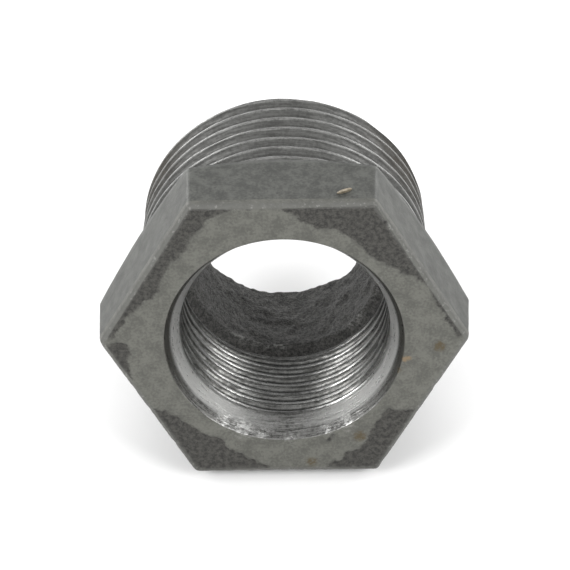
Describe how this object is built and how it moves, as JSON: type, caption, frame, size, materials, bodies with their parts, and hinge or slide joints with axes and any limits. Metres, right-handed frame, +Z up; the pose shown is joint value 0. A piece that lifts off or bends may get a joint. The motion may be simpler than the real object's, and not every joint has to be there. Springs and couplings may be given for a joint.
{
  "type": "hex reducing bushing",
  "caption": "Malleable iron hex bushing: hexagon head tapped with a female taper pipe thread, on a short barrel with a larger male taper pipe thread.",
  "frame": {"origin": "on the table, under the middle of the bushing's box as it lies at rest on one flat and on the rim of its barrel", "axes": "+Z up; the bushing's own axis lies in the YZ plane, with the mouth of the female thread towards -Y and looking up by 7.03 degrees, and the male end towards +Y; X runs across the corners of the hexagon"},
  "size_m": [0.0418, 0.0306, 0.0371],
  "materials": {
    "iron": "as-cast black malleable iron, satin, with worn bright threads and a few rust spots"
  },
  "bodies": {
    "root": {"hex_bushing": "iron"}
  },
  "joints": []
}
